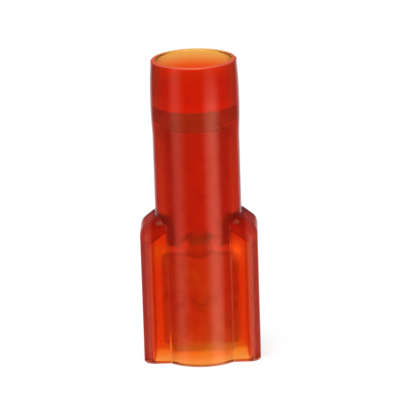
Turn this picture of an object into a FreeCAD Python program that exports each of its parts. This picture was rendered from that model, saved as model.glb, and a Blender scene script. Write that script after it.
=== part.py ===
import FreeCAD, Part
import os
import Sketcher
from FreeCAD import Vector

# Fully insulated male spade terminal, standing on the mouth of its shroud.
# Z runs from the mouth (0) up to the wire entry, X across the tab, Y through its thickness.
# The seam of the wire barrel faces -Y.

document = FreeCAD.newDocument("male_spade_terminal")
sheet = document.addObject("Spreadsheet::Sheet", "sizes")

driving_sizes = {
    "wire_bore_radius": 0.85,  # bore for the bared strands
    "stock_thickness": 0.8,  # strip that the terminal is stamped from
    "seam_gap": 0.06,  # butt seam of the rolled barrel
    "wire_barrel_length": 5.0,
    "barrel_lead": 0.25,  # bevel that guides the strands into the bore
    "serration_depth": 0.07,
    "serration_width": 0.3,
    "serration_height": 1.7,  # lowest serration above the foot of the barrel
    "serration_pitch": 1.1,
    "serration_count": 3,
    "barrel_overhang": 0.2,  # wire barrel below the grip sleeve
    "arch_radius": 1.15,  # arch that opens the seam side towards the neck
    "neck_width": 1.1,
    "neck_root_width": 1.8,
    "neck_length": 0.75,
    "neck_straight": 0.12,
    "neck_bend_drop": 0.3,  # keeps the slanted neck nearly as thick as the strip
    "neck_bend_radius": 0.3,
    "tab_width": 4.75,
    "tab_length": 6.25,
    "tab_recess": 0.3,  # tip of the tab above the mouth
    "tab_shoulder_radius": 0.35,
    "tab_tip_width": 3.55,
    "tab_tip_length": 0.8,
    "tab_lead_in": 0.2,  # taper of the tip's thickness, each side
    "tab_lead_length": 0.6,
    "detent_radius": 0.6,
    "detent_depth": 0.2,
    "detent_height": 3.6,  # detent above the tip
    "sleeve_wall": 0.36,
    "grip_length": 2.45,  # sleeve above the wire barrel, round the insulation
    "sleeve_lip": 0.12,
    "grip_relief": 0.17,  # the grip is this much wider than the wire barrel, each side
    "fit_clearance": 0.03,  # each side, barrel in sleeve and sleeve in housing
    "seat_clearance": 0.05,
    "barrel_wall": 0.58,
    "shroud_wall": 0.55,
    "room_beside_tab": 0.675,
    "room_over_tab": 0.85,
    "sleeve_show": 0.75,  # sleeve that stands out below the shroud's roof
    "roof_wall": 0.95,
    "shoulder_run": 0.95,
    "shoulder_drop": 0.75,
    "shoulder_bend_radius": 0.75,
    "shroud_corner_radius": 0.68,
    "cavity_corner_radius": 0.3,
    "throat_margin": 0.02,  # the throat is this much wider than the grip, each side
    "throat_length": 0.27,
    "funnel_length": 1.0,
    "entry_length": 2.83,
    "entry_wall": 0.36,
    "entry_draft": 0.06,
    "entry_pinch": 0.04,  # rim of the entry is this much slimmer than the barrel
    "collar_swell": 0.065,
    "collar_lead": 0.6,
    "rim_bevel": 0.08,
    "crease_radius": 0.12,
}

for row, (alias, value) in enumerate(driving_sizes.items(), start=1):
    sheet.set(f"A{row}", alias)
    sheet.set(f"B{row}", str(value))
    sheet.setAlias(f"B{row}", alias)
document.recompute()

# Numbers that sketches use for an edge's own points and for the two axes.
start, end, centre = 1, 2, 3
level_axis, upright_axis = -1, -2

slack = 1e-4  # how far apart two places may be and still count as one


def added(*terms):
    return "(" + " + ".join(terms) + ")"


def less(first, *terms):
    return "(" + " - ".join((first,) + terms) + ")"


def half(term):
    return f"({term} / 2)"


def twice(term):
    return f"(2 * {term})"


def minus(term):
    return f"(-{term})"


def size(alias):
    return f"sizes.{alias}"


# Radii, from the wire outwards.
wire_bore = size("wire_bore_radius")
wire_barrel_outside = added(wire_bore, size("stock_thickness"))
sleeve_inside = added(wire_barrel_outside, size("fit_clearance"))
sleeve_outside = added(sleeve_inside, size("sleeve_wall"))
housing_bore = added(sleeve_outside, size("fit_clearance"))
housing_barrel = added(housing_bore, size("barrel_wall"))
lobe_inside = less(housing_barrel, size("shroud_wall"))
grip_inside = added(sleeve_inside, size("grip_relief"))
throat = added(grip_inside, size("throat_margin"))
entry_outside = less(housing_barrel, size("entry_pinch"))
entry_inside = less(entry_outside, size("entry_wall"))
collar_outside = added(housing_barrel, size("collar_swell"))

# Heights, from the mouth upwards.
tab_tip = size("tab_recess")
tab_top = added(tab_tip, size("tab_length"))
wire_barrel_bottom = added(tab_top, size("neck_length"))
wire_barrel_top = added(wire_barrel_bottom, size("wire_barrel_length"))
sleeve_bottom = added(wire_barrel_bottom, size("barrel_overhang"))
sleeve_top = added(wire_barrel_top, size("grip_length"))
sleeve_seat = added(sleeve_top, size("seat_clearance"))
funnel_bottom = added(sleeve_seat, size("throat_length"))
funnel_top = added(funnel_bottom, size("funnel_length"))
entry_top = added(funnel_top, size("entry_length"))
collar_bottom = less(sleeve_seat, size("collar_lead"))
roof_underside = added(sleeve_bottom, size("sleeve_show"))
roof_top = added(roof_underside, size("roof_wall"))

# Half widths and depths of the flat wings beside the barrel.
half_stock = half(size("stock_thickness"))
half_tab = half(size("tab_width"))
half_neck = half(size("neck_width"))
half_neck_root = half(size("neck_root_width"))
cavity_half_width = added(half_tab, size("room_beside_tab"))
cavity_half_depth = added(half_stock, size("room_over_tab"))
shroud_half_width = added(cavity_half_width, size("shroud_wall"))
shroud_half_depth = added(cavity_half_depth, size("shroud_wall"))


def value_of(expression):
    return float(sheet.evalExpression(expression))


def new_body(name):
    return document.addObject("PartDesign::Body", name)


def new_sketch(body, role, name, offset=None):
    plane = next(item for item in body.Origin.OriginFeatures if item.Role == role)
    sketch = body.newObject("Sketcher::SketchObject", name)
    sketch.AttachmentSupport = [(plane, "")]
    sketch.MapMode = "FlatFace"
    if offset:
        sketch.setExpression("AttachmentOffset.Base.z", offset)
    return sketch


def bind_distance(sketch, kind, geometry, point, expression):
    index = sketch.addConstraint(Sketcher.Constraint(kind, geometry, point, value_of(expression)))
    sketch.setExpression(f"Constraints[{index}]", expression)


def pin(sketch, geometry, point, across, up):
    if across == "0":
        sketch.addConstraint(Sketcher.Constraint("PointOnObject", geometry, point, upright_axis))
    else:
        bind_distance(sketch, "DistanceX", geometry, point, across)
    if up == "0":
        sketch.addConstraint(Sketcher.Constraint("PointOnObject", geometry, point, level_axis))
    else:
        bind_distance(sketch, "DistanceY", geometry, point, up)


def end_at(sketch, geometry, place):
    to_start = sketch.getPoint(geometry, start).distanceToPoint(place)
    to_end = sketch.getPoint(geometry, end).distanceToPoint(place)
    return start if to_start < to_end else end


def draw_outline(sketch, corners):
    # A corner of four values is reached by an arc that passes through the last two.
    places = [Vector(value_of(corner[0]), value_of(corner[1]), 0) for corner in corners]
    edges = []
    for number, corner in enumerate(corners):
        before, here = places[number - 1], places[number]
        if len(corner) == 4:
            through = Vector(value_of(corner[2]), value_of(corner[3]), 0)
            edges.append(sketch.addGeometry(Part.Arc(before, through, here)))
            guide = sketch.addGeometry(Part.Point(through), True)
            pin(sketch, guide, start, corner[2], corner[3])
            sketch.addConstraint(Sketcher.Constraint("PointOnObject", guide, start, edges[-1]))
        else:
            edges.append(sketch.addGeometry(Part.LineSegment(before, here)))
    for number, corner in enumerate(corners):
        edge, following = edges[number], edges[(number + 1) % len(edges)]
        here = end_at(sketch, edge, places[number])
        there = end_at(sketch, following, places[number])
        sketch.addConstraint(Sketcher.Constraint("Coincident", edge, here, following, there))
        pin(sketch, edge, here, corner[0], corner[1])


def draw_circle(sketch, across, up, radius):
    middle = Vector(value_of(across), value_of(up), 0)
    circle = sketch.addGeometry(Part.Circle(middle, Vector(0, 0, 1), value_of(radius)))
    pin(sketch, circle, centre, across, up)
    index = sketch.addConstraint(Sketcher.Constraint("Radius", circle, value_of(radius)))
    sketch.setExpression(f"Constraints[{index}]", radius)


def revolve(body, kind, name, sketch):
    feature = body.newObject(kind, name)
    feature.Profile = sketch
    feature.ReferenceAxis = (sketch, ["V_Axis"])
    feature.Angle = 360
    document.recompute()
    return feature


def extrude(body, kind, name, sketch, length=None, both_ways=False, backwards=False):
    feature = body.newObject(kind, name)
    feature.Profile = sketch
    feature.Midplane = both_ways
    feature.Reversed = backwards
    if length:
        feature.setExpression("Length", length)
    else:
        feature.Type = "ThroughAll"
    document.recompute()
    return feature


def dress_edges(body, kind, name, length_name, length, chosen):
    base = body.Tip
    names = [f"Edge{n}" for n, edge in enumerate(base.Shape.Edges, start=1) if chosen(edge)]
    feature = body.newObject(kind, name)
    feature.Base = (base, names)
    feature.setExpression(length_name, length)
    document.recompute()
    return feature


def round_edges(body, name, radius, chosen):
    return dress_edges(body, "PartDesign::Fillet", name, "Radius", radius, chosen)


def bevel_edges(body, name, width, chosen):
    return dress_edges(body, "PartDesign::Chamfer", name, "Size", width, chosen)


def lies_at(edge, axis, place):
    box = edge.BoundBox
    low, high = {"x": (box.XMin, box.XMax), "y": (box.YMin, box.YMax), "z": (box.ZMin, box.ZMax)}[axis]
    return abs(low - place) < slack and abs(high - place) < slack


def lies_beside(edge, axis, place):
    return lies_at(edge, axis, place) or lies_at(edge, axis, -place)


# Housing: one nylon moulding, a round barrel that runs on down between two flat wings.
housing = new_body("housing")

outline = new_sketch(housing, "XZ_Plane", "shroud_front")
shoulder_inside = less(shroud_half_width, size("shoulder_run"))
shoulder_foot = less(roof_top, size("shoulder_drop"))
draw_outline(
    outline,
    [
        (minus(shroud_half_width), "0"),
        (shroud_half_width, "0"),
        (shroud_half_width, shoulder_foot),
        (shoulder_inside, roof_top),
        (minus(shoulder_inside), roof_top),
        (minus(shroud_half_width), shoulder_foot),
    ],
)
extrude(housing, "PartDesign::Pad", "shroud_block", outline, twice(shroud_half_depth), both_ways=True)

bend_places = [
    (value_of(shroud_half_width), value_of(shoulder_foot)),
    (value_of(shoulder_inside), value_of(roof_top)),
]


def is_shoulder_bend(edge):
    return any(lies_at(edge, "z", up) and lies_beside(edge, "x", across) for across, up in bend_places)


round_edges(housing, "shoulder_bends", size("shoulder_bend_radius"), is_shoulder_bend)

face_depth = value_of(shroud_half_depth)


def is_front_or_back_contour(edge):
    return lies_beside(edge, "y", face_depth) and not lies_at(edge, "z", 0)


round_edges(housing, "shroud_corners", size("shroud_corner_radius"), is_front_or_back_contour)

profile = new_sketch(housing, "XZ_Plane", "barrel_side")
draw_outline(
    profile,
    [
        ("0", "0"),
        (housing_barrel, "0"),
        (housing_barrel, collar_bottom),
        (entry_outside, entry_top, collar_outside, funnel_top),
        ("0", entry_top),
    ],
)
revolve(housing, "PartDesign::Revolution", "barrel", profile)

profile = new_sketch(housing, "XZ_Plane", "bore_side")
draw_outline(
    profile,
    [
        ("0", "0"),
        (lobe_inside, "0"),
        (lobe_inside, roof_underside),
        (housing_bore, roof_underside),
        (housing_bore, sleeve_seat),
        (throat, sleeve_seat),
        (throat, funnel_bottom),
        (less(entry_inside, size("entry_draft")), funnel_top),
        (entry_inside, entry_top),
        ("0", entry_top),
    ],
)
revolve(housing, "PartDesign::Groove", "bore", profile)

outline = new_sketch(housing, "XZ_Plane", "cavity_front")
cavity_shoulder_inside = less(cavity_half_width, size("shoulder_run"))
cavity_shoulder_foot = less(roof_underside, size("shoulder_drop"))
draw_outline(
    outline,
    [
        (minus(cavity_half_width), "0"),
        (cavity_half_width, "0"),
        (cavity_half_width, cavity_shoulder_foot),
        (cavity_shoulder_inside, roof_underside),
        (minus(cavity_shoulder_inside), roof_underside),
        (minus(cavity_half_width), cavity_shoulder_foot),
    ],
)
extrude(housing, "PartDesign::Pocket", "tab_cavity", outline, twice(cavity_half_depth), both_ways=True)


def is_cavity_corner(edge):
    beside = lies_beside(edge, "x", value_of(cavity_half_width))
    return beside and lies_beside(edge, "y", value_of(cavity_half_depth))


round_edges(housing, "cavity_corners", size("cavity_corner_radius"), is_cavity_corner)


def is_entry_rim(edge):
    return lies_at(edge, "z", value_of(entry_top))


bevel_edges(housing, "entry_rim", size("rim_bevel"), is_entry_rim)


def is_lobe_crease(edge):
    across = abs(edge.BoundBox.Center.x)
    upright = edge.BoundBox.XLength < slack
    return upright and across < value_of(housing_barrel) and lies_beside(edge, "y", face_depth)


round_edges(housing, "lobe_creases", size("crease_radius"), is_lobe_crease)


def is_mouth_rim(edge):
    return lies_at(edge, "z", 0)


bevel_edges(housing, "mouth_rim", size("rim_bevel"), is_mouth_rim)

# Grip sleeve: a drawn tube round the wire barrel and, above it, round the insulation.
grip_sleeve = new_body("grip_sleeve")
profile = new_sketch(grip_sleeve, "XZ_Plane", "sleeve_side")
draw_outline(
    profile,
    [
        (sleeve_inside, sleeve_bottom),
        (sleeve_outside, sleeve_bottom),
        (sleeve_outside, sleeve_top),
        (added(grip_inside, size("sleeve_lip")), sleeve_top),
        (grip_inside, less(sleeve_top, size("sleeve_lip"))),
        (grip_inside, added(wire_barrel_top, size("grip_relief"))),
        (sleeve_inside, wire_barrel_top),
    ],
)
revolve(grip_sleeve, "PartDesign::Revolution", "tube", profile)
outline = new_sketch(grip_sleeve, "XZ_Plane", "sleeve_arch_front")
draw_circle(outline, "0", sleeve_bottom, size("arch_radius"))
extrude(grip_sleeve, "PartDesign::Pocket", "sleeve_arch", outline, backwards=True)

# Tab terminal: one stamping, rolled into the wire barrel and necked down to the flat tab.
tab_terminal = new_body("tab_terminal")
outline = new_sketch(tab_terminal, "YZ_Plane", "strap_side")
neck_foot = added(tab_top, size("neck_straight"))
neck_top = added(wire_barrel_bottom, half(size("barrel_overhang")))
draw_outline(
    outline,
    [
        (minus(less(half_stock, size("tab_lead_in"))), tab_tip),
        (less(half_stock, size("tab_lead_in")), tab_tip),
        (half_stock, added(tab_tip, size("tab_lead_length"))),
        (half_stock, neck_foot),
        (wire_barrel_outside, less(neck_top, size("neck_bend_drop"))),
        (wire_barrel_outside, neck_top),
        (wire_bore, neck_top),
        (minus(half_stock), added(neck_foot, size("neck_bend_drop"))),
        (minus(half_stock), added(tab_tip, size("tab_lead_length"))),
    ],
)
extrude(tab_terminal, "PartDesign::Pad", "strap", outline, size("tab_width"), both_ways=True)

trim_half_width = added(half_tab, size("stock_thickness"))
trim_top = added(wire_barrel_top, size("stock_thickness"))
half_tip = half(size("tab_tip_width"))
tip_shoulder = added(tab_tip, size("tab_tip_length"))
for side, to_side in (("right", str), ("left", minus)):
    outline = new_sketch(tab_terminal, "XZ_Plane", f"trim_{side}_front")
    draw_outline(
        outline,
        [
            (to_side(half_tip), tab_tip),
            (to_side(half_tab), tip_shoulder),
            (to_side(half_tab), tab_top),
            (to_side(half_neck_root), tab_top),
            (to_side(half_neck), wire_barrel_bottom),
            (to_side(half_neck), trim_top),
            (to_side(trim_half_width), trim_top),
            (to_side(trim_half_width), tab_tip),
        ],
    )
    extrude(tab_terminal, "PartDesign::Pocket", f"trim_{side}", outline, both_ways=True)


def is_tab_shoulder(edge):
    return lies_at(edge, "z", value_of(tab_top)) and lies_beside(edge, "x", value_of(half_tab))


round_edges(tab_terminal, "tab_shoulders", size("tab_shoulder_radius"), is_tab_shoulder)


def is_neck_bend(edge):
    across_strap = edge.BoundBox.XLength > value_of(half_neck)
    bends = (
        (minus(half_stock), added(neck_foot, size("neck_bend_drop"))),
        (wire_barrel_outside, less(neck_top, size("neck_bend_drop"))),
    )
    return across_strap and any(
        lies_at(edge, "y", value_of(depth)) and lies_at(edge, "z", value_of(up)) for depth, up in bends
    )


round_edges(tab_terminal, "neck_bends", size("neck_bend_radius"), is_neck_bend)

profile = new_sketch(tab_terminal, "XZ_Plane", "wire_barrel_side")
draw_outline(
    profile,
    [
        (wire_bore, wire_barrel_bottom),
        (wire_barrel_outside, wire_barrel_bottom),
        (wire_barrel_outside, wire_barrel_top),
        (added(wire_bore, size("barrel_lead")), wire_barrel_top),
        (wire_bore, less(wire_barrel_top, size("barrel_lead"))),
    ],
)
revolve(tab_terminal, "PartDesign::Revolution", "wire_barrel", profile)

profile = new_sketch(tab_terminal, "XZ_Plane", "serration_side")
serration_foot = added(wire_barrel_bottom, size("serration_height"))
draw_outline(
    profile,
    [
        ("0", serration_foot),
        (wire_bore, serration_foot),
        (added(wire_bore, size("serration_depth")), added(serration_foot, half(size("serration_width")))),
        (wire_bore, added(serration_foot, size("serration_width"))),
        ("0", added(serration_foot, size("serration_width"))),
    ],
)
serration = revolve(tab_terminal, "PartDesign::Groove", "serration", profile)
serrations = tab_terminal.newObject("PartDesign::LinearPattern", "serrations")
serrations.Originals = [serration]
serrations.Direction = (profile, ["V_Axis"])
serrations.setExpression("Occurrences", size("serration_count"))
serrations.setExpression("Length", f"{size('serration_pitch')} * ({size('serration_count')} - 1)")
tab_terminal.Tip = serrations
document.recompute()

outline = new_sketch(tab_terminal, "XZ_Plane", "barrel_arch_front")
draw_circle(outline, "0", sleeve_bottom, size("arch_radius"))
extrude(tab_terminal, "PartDesign::Pocket", "barrel_arch", outline, backwards=True)

outline = new_sketch(tab_terminal, "XZ_Plane", "seam_front")
half_seam = half(size("seam_gap"))
draw_outline(
    outline,
    [
        (minus(half_seam), wire_barrel_bottom),
        (half_seam, wire_barrel_bottom),
        (half_seam, wire_barrel_top),
        (minus(half_seam), wire_barrel_top),
    ],
)
extrude(tab_terminal, "PartDesign::Pocket", "seam", outline, backwards=True)

detent_floor = less(half_stock, size("detent_depth"))
outline = new_sketch(tab_terminal, "XZ_Plane", "detent_front", detent_floor)
draw_circle(outline, "0", added(tab_tip, size("detent_height")), size("detent_radius"))
extrude(tab_terminal, "PartDesign::Pocket", "detent", outline, backwards=True)

pieces = [housing, grip_sleeve, tab_terminal]

document.recompute()
for item in document.Objects:
    if "Invalid" in item.State or "Error" in item.State:
        raise RuntimeError(f"{item.Name} failed: {item.State}")
for piece in pieces:
    if piece.Shape.isNull() or not piece.Shape.isValid():
        raise RuntimeError(f"{piece.Label} has no valid shape")

os.makedirs("parts", exist_ok=True)
for piece in pieces:
    piece.Shape.exportStep(f"parts/{piece.Label}.step")
    box = piece.Shape.BoundBox
    print(piece.Label, len(piece.Shape.Solids), round(piece.Shape.Volume, 3), box)
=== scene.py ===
import math

import bmesh
import bpy
from mathutils import Matrix, Vector


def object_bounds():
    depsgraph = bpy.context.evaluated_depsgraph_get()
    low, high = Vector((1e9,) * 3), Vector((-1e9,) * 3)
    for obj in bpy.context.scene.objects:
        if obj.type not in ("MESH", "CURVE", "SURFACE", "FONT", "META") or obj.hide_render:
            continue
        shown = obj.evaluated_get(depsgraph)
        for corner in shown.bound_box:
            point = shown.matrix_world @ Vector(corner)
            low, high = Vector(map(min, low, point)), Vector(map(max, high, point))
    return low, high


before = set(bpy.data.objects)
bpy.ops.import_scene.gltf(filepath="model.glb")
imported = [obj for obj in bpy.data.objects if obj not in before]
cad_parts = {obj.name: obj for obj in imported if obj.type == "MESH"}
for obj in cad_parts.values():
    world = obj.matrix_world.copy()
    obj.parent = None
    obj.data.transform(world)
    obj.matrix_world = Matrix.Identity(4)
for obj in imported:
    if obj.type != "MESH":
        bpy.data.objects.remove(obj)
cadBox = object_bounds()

# Fully insulated male spade terminal: a red nylon moulding, seen through to its tinned metal.
# It is in metres and stands on z = 0, with the seam of the wire barrel towards -Y.
# Places in the materials are in millimetres, and a pair is the stretch over which a look comes in.
mm = 0.001
entryTop = cadBox[1][2] / mm
white = (1, 1, 1)


class Wire:  # one socket, so that shader maths can be written as sums
    def __init__(self, look, socket):
        self.look, self.socket = look, socket

    def maths(self, operation, first, second):
        return self.look.node("ShaderNodeMath", {"operation": operation}, {0: first, 1: second})

    def __add__(self, other):
        return self.maths("ADD", self, other)

    __radd__ = __add__

    def __sub__(self, other):
        return self.maths("SUBTRACT", self, other)

    def __rsub__(self, other):
        return self.maths("SUBTRACT", other, self)

    def __mul__(self, other):
        return self.maths("MULTIPLY", self, other)

    __rmul__ = __mul__


class Look:  # a node tree that is being wired up
    def __init__(self, tree):
        self.tree = tree
        tree.nodes.clear()

    def node(self, kind, settings=None, given=None, take=0):
        made = self.tree.nodes.new(kind)
        for name, value in (settings or {}).items():
            setattr(made, name, value)
        for name, value in (given or {}).items():
            if isinstance(value, Wire):
                self.tree.links.new(value.socket, made.inputs[name])
            else:
                made.inputs[name].default_value = value
        return Wire(self, made.outputs[take]) if made.outputs else None

    def larger(self, first, second):
        return self.node("ShaderNodeMath", {"operation": "MAXIMUM"}, {0: first, 1: second})

    def size(self, value):
        return self.node("ShaderNodeMath", {"operation": "ABSOLUTE"}, {0: value})

    def length(self, arrow):
        return self.node("ShaderNodeVectorMath", {"operation": "LENGTH"}, {0: arrow}, take="Value")

    def part(self, arrow, axis):
        return self.node("ShaderNodeSeparateXYZ", {}, {"Vector": arrow}, take=axis)

    def spots(self, place, scale, detail=2, roughness=0.5):
        given = {"Vector": place, "Scale": scale, "Detail": detail, "Roughness": roughness}
        return self.node("ShaderNodeTexNoise", {}, given)

    def stretched(self, place, along):
        return self.node("ShaderNodeMapping", {}, {"Vector": place, "Scale": along})

    def rise(self, value, stretch, start=0.0, end=1.0):
        given = {"Value": value, "From Min": stretch[0], "From Max": stretch[1]}
        given.update({"To Min": start, "To Max": end})
        return self.node("ShaderNodeMapRange", {"interpolation_type": "SMOOTHSTEP"}, given)

    def fall(self, value, stretch):
        return self.rise(value, stretch, 1, 0)

    def blend(self, share, first, second):
        ends = [shade if isinstance(shade, Wire) else (*shade, 1) for shade in (first, second)]
        given = {"Factor": share, 6: ends[0], 7: ends[1]}
        return self.node("ShaderNodeMix", {"data_type": "RGBA"}, given, take=2)

    def relief(self, height, depth, under=None):
        given = {"Height": height, "Distance": depth}
        if under:
            given["Normal"] = under
        return self.node("ShaderNodeBump", {}, given)

    def millimetres(self):
        place = self.node("ShaderNodeTexCoord", {}, take="Object")
        return self.stretched(place, (1 / mm, 1 / mm, 1 / mm))

    def surface(self, shader, inside=None):
        given = {"Surface": shader, "Volume": inside} if inside else {"Surface": shader}
        self.node("ShaderNodeOutputMaterial", {}, given)


def newMaterial(name):
    material = bpy.data.materials.new(name)
    material.use_nodes = True
    return material, Look(material.node_tree)


def dress(name, material):
    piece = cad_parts[name]
    piece.data.materials.clear()
    piece.data.materials.append(material)


# Nylon of the housing. One wall over white is orange, two walls are red.
nylon = {
    "tint": (0.95, 0.178, 0.013),
    # painted light: below 6.5 to 8.5 mm the shroud is paler, as if lit from inside through the open mouth
    "shroudLitFromBelow": (1.0, 0.33, 0.016),
    "shroudEnds": (6.5, 8.5),
    "entryTint": (0.77, 0.130, 0.011),
    "entryStarts": (16.3, 17.1),
    "deeper": 0.93,  # how much darker the tint is in its deeper clouds
    "cloudScale": 0.9,
    "cloudStarts": (0.35, 0.75),
    "cloudShare": 0.35,
    "paintedMouthGlow": (1.0, 0.70, 0.11),  # painted glow: the last of the wall at the mouth is paler, as if lit through its end from the floor
    "mouthGlowHeight": 0.85,
    "rimLitFromAbove": (1.0, 0.75, 0.14),  # painted light: paler again near the top, on the inside of the wire entry and on its far side, as if lit through the open entry
    "rimDepth": 1.2,
    "rimRadius": (2.3, 2.38),
    "farSideLitTint": (1.0, 0.135, 0.011),  # painted light: the entry's wall is paler near its top on the side away from the seam, as if lit from behind
    "farStarts": (17.2, 17.5),
    "farSide": (0.6, 1.9),
    "depthColour": (0.825, 0.133, 0.37),
    "depthPerMetre": 1500,
    "roughness": 0.20,
    "roughnessSwing": 0.12,
    "ior": 1.53,
    "sheen": (0.27, 0.138, 0.078),  # colour of its reflections
    "flowStretch": (0.55, 0.55, 0.16),
    "ripple": 0.003 * mm,
    "grainScale": 26,
    "grain": 0.0006 * mm,
}

# Paler swirl marks in the shroud's walls, and painted light: a paler corner on each side above the tab,
# where light would come through beside the neck.
swirlsAndLitCorners = {
    "tint": (1.0, 0.60, 0.030),
    "share": 0.75,
    "stretch": (0.62, 0.62, 0.34),
    "starts": (0.48, 0.66),
    "litCornerStarts": (5.6, 6.3),
    "litCornerEnds": (7.2, 8.0),
    "litCornerAside": (1.5, 2.0),
}

# Cloudy skin of the nylon: the colour that it scatters back and how much of the look it is. Some of its
# zones are painted light: a greyer sheen on the wings' sides, a highlight on the top lip, light inside the
# wire entry and a pale spot above the tab.
cloudAndLight = {
    "all": {"colour": (0.95, 0.042, 0.010), "share": 0.06},
    # painted sheen: a greyer, thicker skin on the wings' rounded sides, above the mouth
    "wingSheen": {"colour": (0.46, 0.045, 0.028), "share": 0.30, "aside": (2.75, 3.1)},
    "seat": {"colour": (0.90, 0.05, 0.014), "share": 0.10, "starts": (14.7, 15.2), "ends": (15.9, 16.4)},
    # painted highlight: a paler skin along the top lip of the wire entry
    "lipHighlight": {"colour": (0.95, 0.16, 0.08), "share": 0.40, "height": (18.80, 18.88), "radius": (2.3, 2.36)},
    # painted light: a paler skin inside the wire entry near its top
    "rimLight": {"colour": (1.0, 0.50, 0.06), "share": 0.10},
    # painted light: a pale soft spot on the right above the tab, where light would come through beside the
    # neck
    "glow": {"colour": (1.0, 0.10, 0.01), "share": 0.27, "at": (2.27, 7.25), "size": (0.55, 1.1)},
}


# The nylon's tint, with painted light in it: paler in the shroud, at the mouth, in the corners above the tab
# and near the top of the wire entry.
def nylonTintAndLight(look, place, height, across, mouthGlowZone, rimLightZone, farSide):
    tint = look.blend(look.rise(height, nylon["shroudEnds"]), nylon["shroudLitFromBelow"], nylon["tint"])
    swirl = look.spots(look.stretched(place, swirlsAndLitCorners["stretch"]), 1.0)
    # painted light: a paler corner on each side above the tab
    corner = look.rise(height, swirlsAndLitCorners["litCornerStarts"]) * look.fall(height, swirlsAndLitCorners["litCornerEnds"])
    corner = corner * look.rise(across, swirlsAndLitCorners["litCornerAside"])
    paler = look.rise(swirl, swirlsAndLitCorners["starts"]) * look.fall(height, nylon["shroudEnds"])
    tint = look.blend(look.larger(paler, corner) * swirlsAndLitCorners["share"], tint, swirlsAndLitCorners["tint"])
    tint = look.blend(look.rise(height, nylon["entryStarts"]), tint, nylon["entryTint"])
    cloud = look.spots(place, nylon["cloudScale"], 3, 0.6)
    deeper = [channel * nylon["deeper"] for channel in nylon["tint"]]
    tint = look.blend(look.rise(cloud, nylon["cloudStarts"], 0, nylon["cloudShare"]), tint, deeper)
    tint = look.blend(mouthGlowZone, tint, nylon["paintedMouthGlow"])
    tint = look.blend(look.rise(height, nylon["farStarts"]) * farSide, tint, nylon["farSideLitTint"])
    return look.blend(rimLightZone, tint, nylon["rimLitFromAbove"])


# The cloudy skin's colour and share, with the painted sheen, highlight and light of its zones.
def nylonCloudAndLight(look, zones):
    colour, share = cloudAndLight["all"]["colour"], cloudAndLight["all"]["share"]
    for name, zone in zones.items():
        colour = look.blend(zone, colour, cloudAndLight[name]["colour"])
        share = zone * (cloudAndLight[name]["share"] - cloudAndLight["all"]["share"]) + share
    return colour, share


def makeNylon():
    material, look = newMaterial("red_nylon")
    place = look.millimetres()
    height = look.part(place, 2)
    across = look.size(look.part(place, 0))
    radius = look.length(look.stretched(place, (1, 1, 0)))
    flow = look.spots(look.stretched(place, nylon["flowStretch"]), 1.0, 3)
    grain = look.spots(place, nylon["grainScale"])
    skin = look.relief(flow, nylon["ripple"], look.relief(grain, nylon["grain"]))
    # painted glow along the bottom of the wall at the mouth
    mouthGlowZone = look.fall(height, (0, nylon["mouthGlowHeight"]))
    # painted light near the top of the wire entry, on its inside and on its far side
    nearTop = look.rise(height, (entryTop - nylon["rimDepth"], entryTop))
    farSide = look.rise(look.part(place, 1), nylon["farSide"])
    rimLightZone = nearTop * look.larger(look.fall(radius, nylon["rimRadius"]), farSide)
    clear = look.node("ShaderNodeBsdfPrincipled", {}, {
        "Base Color": nylonTintAndLight(look, place, height, across, mouthGlowZone, rimLightZone, farSide),
        "Roughness": nylon["roughness"] + (flow - 0.5) * nylon["roughnessSwing"],
        "IOR": nylon["ior"],
        "Specular Tint": (*nylon["sheen"], 1),
        "Transmission Weight": 1.0,
        "Normal": skin,
    })
    aside, up = [look.size(look.part(place, axis) - at) for axis, at in zip((0, 2), cloudAndLight["glow"]["at"])]
    wide, tall = cloudAndLight["glow"]["size"]
    colour, share = nylonCloudAndLight(look, {
        "wingSheen": look.rise(across, cloudAndLight["wingSheen"]["aside"]) * (1 - mouthGlowZone),
        "seat": look.rise(height, cloudAndLight["seat"]["starts"]) * look.fall(height, cloudAndLight["seat"]["ends"]),
        "lipHighlight": look.rise(height, cloudAndLight["lipHighlight"]["height"]) * look.rise(radius, cloudAndLight["lipHighlight"]["radius"]),
        "rimLight": rimLightZone,
        "glow": look.fall(aside, (0, wide)) * look.fall(up, (0, tall)),  # painted light: one soft spot at a corner
    })
    cloudAndLightShader = look.node("ShaderNodeBsdfPrincipled", {}, {
        "Base Color": colour,
        "Specular IOR Level": 0.0,
        "Normal": skin,
    })
    depth = look.node("ShaderNodeVolumeAbsorption", {}, {
        "Color": (*nylon["depthColour"], 1),
        "Density": nylon["depthPerMetre"],
    })
    look.surface(look.node("ShaderNodeMixShader", {}, {0: share, 1: clear, 2: cloudAndLightShader}), depth)
    return material


# Tin plate, over brass on the terminal and over copper on the sleeve.
tin = {
    "terminal": {"base": (0.74, 0.73, 0.70), "worn": (0.54, 0.45, 0.31), "grainAlong": (9, 9, 0.9)},
    "sleeve": {"base": (0.76, 0.75, 0.73), "worn": (0.68, 0.50, 0.40), "grainAlong": (7, 7, 1.2)},
    "mottleScale": 1.6,
    "mottleShare": 0.7,  # of the wear; the streaks are the rest of it
    "wornStarts": (0.46, 0.62),
    "wornShare": 0.6,
    "roughness": 0.42,
    "mottleSwing": 0.25,
    "pitScale": 18,
    "pitSwing": 0.08,
    "scratchDepth": 0.003 * mm,
    "pitDepth": 0.0015 * mm,
}


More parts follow.
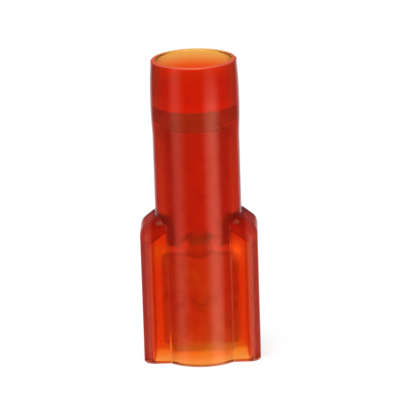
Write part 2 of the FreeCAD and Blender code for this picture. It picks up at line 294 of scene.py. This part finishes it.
def makeTin(name, finish):
    material, look = newMaterial(name)
    place = look.millimetres()
    mottle = look.spots(place, tin["mottleScale"], 4, 0.6)
    streaks = look.spots(look.stretched(place, finish["grainAlong"]), 1.0, 4, 0.65)
    pits = look.spots(place, tin["pitScale"])
    wear = mottle * tin["mottleShare"] + streaks * (1 - tin["mottleShare"])
    worn = look.rise(wear, tin["wornStarts"], 0, tin["wornShare"])
    look.surface(look.node("ShaderNodeBsdfPrincipled", {}, {
        "Base Color": look.blend(worn, finish["base"], finish["worn"]),
        "Metallic": 1.0,
        "Roughness": tin["roughness"] + (mottle - 0.5) * tin["mottleSwing"] + (pits - 0.5) * tin["pitSwing"],
        "Normal": look.relief(pits, tin["pitDepth"], look.relief(streaks, tin["scratchDepth"])),
    }))
    return material


dress("housing", makeNylon())
dress("grip_sleeve", makeTin("tinned_copper", tin["sleeve"]))
dress("tab_terminal", makeTin("tinned_brass", tin["terminal"]))
print("materials are on the three CAD nodes")

# The stage: a small pale floor that runs out into a white background.
stage = {
    "radius": 60 * mm,
    "corners": 96,
    "paint": (0.86, 0.86, 0.86),
    "fades": (8 * mm, 34 * mm),  # from the object out to where only white is left
    "shadowShare": 0.35,  # how much of the floor's look is its lit paint, where the shadow falls
}

# The surroundings. "back" is 1 away from the camera and -1 towards it, "up" is 1 overhead.
surroundings = {
    "light": 0.75,
    "glossBehind": 0.9,  # how bright they stand in a reflection, behind and low down
    "glossBehindBack": (0.75, 0.93),
    "glossBehindUp": (-0.22, -0.02),
    "glossBelow": 0.6,  # in one straight down
    "glossBelowUp": (-0.9, -0.55),
    "glossElsewhere": 0.08,
    "seenBehindBack": (0.78, 0.94),  # what is seen through nylon is white here
    "seenAhead": 0.82,  # this bright on the camera's side
    "seenAheadBack": (-0.75, -0.3),
    "seenAside": 0.25,  # and this bright to the left and right
}


def rays(look, kind):
    return look.node("ShaderNodeLightPath", {}, take="Is " + kind + " Ray")


def whiteRays(look):  # 1 for what the camera, a gloss or a see-through wall looks at
    return look.larger(look.larger(rays(look, "Camera"), rays(look, "Glossy")), rays(look, "Transmission"))


def makeFloor():
    sheet = bmesh.new()
    bmesh.ops.create_circle(sheet, cap_ends=True, radius=stage["radius"], segments=stage["corners"])
    mesh = bpy.data.meshes.new("floor")
    sheet.to_mesh(mesh)
    sheet.free()
    floor = bpy.data.objects.new("floor", mesh)
    bpy.context.scene.collection.objects.link(floor)
    floor.visible_glossy = floor.visible_shadow = False  # the soft boxes reach down behind it
    material, look = newMaterial("pale_floor")
    away = look.length(look.node("ShaderNodeTexCoord", {}, take="Object"))
    paint = look.node("ShaderNodeBsdfDiffuse", {}, {"Color": (*stage["paint"], 1)})
    glow = look.node("ShaderNodeEmission", {}, {"Color": (*white, 1), "Strength": 1.0})
    shadowed = look.fall(away, stage["fades"]) * stage["shadowShare"]
    share = 1 - whiteRays(look) * (1 - shadowed * (1 - rays(look, "Transmission")))
    look.surface(look.node("ShaderNodeMixShader", {}, {0: share, 1: glow, 2: paint}))
    mesh.materials.append(material)


def makeWorld(size):
    world = bpy.data.worlds.new("studio")
    world.use_nodes = True
    bpy.context.scene.world = world
    look = Look(world.node_tree)
    ray = look.node("ShaderNodeTexCoord", {}, take="Generated")
    back, up = look.part(ray, 1), look.part(ray, 2)
    behind = look.rise(back, size["glossBehindBack"]) * look.fall(up, size["glossBehindUp"])
    gloss = size["glossElsewhere"] + behind * (size["glossBehind"] - size["glossElsewhere"])
    gloss = gloss + look.fall(up, size["glossBelowUp"]) * (size["glossBelow"] - size["glossElsewhere"])
    seen = size["seenAside"] + look.rise(back, size["seenBehindBack"]) * (1 - size["seenAside"])
    seen = seen + look.fall(back, size["seenAheadBack"]) * (size["seenAhead"] - size["seenAside"])
    through = rays(look, "Transmission")
    strength = size["light"] + whiteRays(look) * (1 - size["light"])
    strength = strength - rays(look, "Glossy") * (1 - through) * (1 - gloss) - through * (1 - seen)
    sky = look.node("ShaderNodeBackground", {}, {"Color": (*white, 1), "Strength": strength})
    look.node("ShaderNodeOutputWorld", {}, {"Surface": sky})


makeFloor()
makeWorld(surroundings)
print("floor and surroundings are in place")

# Camera, fitted to the outline of the housing in the photograph. Angles are in degrees: az is
# the azimuth round the object, 0 towards -Y, and el the elevation above the floor.
camera = {
    "az": 1.35,
    "el": 16.0,
    "roll": -1.87,
    "distance": 233.2 * mm,
    "lens": 341.7,
    "target": (0, 0, 9.5 * mm),
    "asideAndUp": (0.107 * mm, 0.427 * mm),
    "clip": (10 * mm, 3),
}


def direction(azimuth, elevation):  # a unit arrow from the object
    a, e = math.radians(azimuth), math.radians(elevation)
    return Vector((math.sin(a) * math.cos(e), -math.cos(a) * math.cos(e), math.sin(e)))


def makeCamera(size):
    data = bpy.data.cameras.new("camera")
    data.lens = size["lens"]
    data.clip_start, data.clip_end = size["clip"]
    holder = bpy.data.objects.new("camera", data)
    bpy.context.scene.collection.objects.link(holder)
    bpy.context.scene.camera = holder
    back = direction(size["az"], size["el"])
    turn = back.to_track_quat("Z", "Y").to_matrix() @ Matrix.Rotation(math.radians(size["roll"]), 3, "Z")
    place = Vector(size["target"]) + back * size["distance"] + turn @ Vector((*size["asideAndUp"], 0))
    holder.matrix_world = Matrix.Translation(place) @ turn.to_4x4()


makeCamera(camera)

# Lamps: a tall soft box with a wider, weaker one behind it draws each streak on the barrel.
# The right pair stands lower, so that its streak fades towards the wire entry.
lamps = {
    "right_strip": {"az": 43, "el": -27, "distance": 300, "wide": 110, "tall": 200, "power": 0.36},
    "right_haze": {"az": 43, "el": -27, "distance": 320, "wide": 230, "tall": 210, "power": 0.78},
    "left_strip": {"az": -50, "el": -8, "distance": 300, "wide": 90, "tall": 320, "power": 0.19},
    "left_haze": {"az": -50, "el": -8, "distance": 320, "wide": 210, "tall": 320, "power": 0.43},
    "overhead": {"az": -20, "el": 70, "distance": 320, "wide": 260, "tall": 260, "power": 1.1},
}


def makeLamp(name, size):
    data = bpy.data.lights.new(name, "AREA")
    data.shape = "RECTANGLE"
    data.size, data.size_y = size["wide"] * mm, size["tall"] * mm
    data.energy = size["power"]
    lamp = bpy.data.objects.new(name, data)
    lamp.visible_transmission = False  # the metal behind the nylon is lit by the white surroundings alone
    bpy.context.scene.collection.objects.link(lamp)
    back = direction(size["az"], size["el"])
    place = Vector(camera["target"]) + back * size["distance"] * mm
    lamp.matrix_world = Matrix.Translation(place) @ back.to_track_quat("Z", "Y").to_matrix().to_4x4()


for name, size in lamps.items():
    makeLamp(name, size)
bpy.context.scene.view_settings.view_transform = "Standard"
print("camera and", len(lamps), "lamps are up")
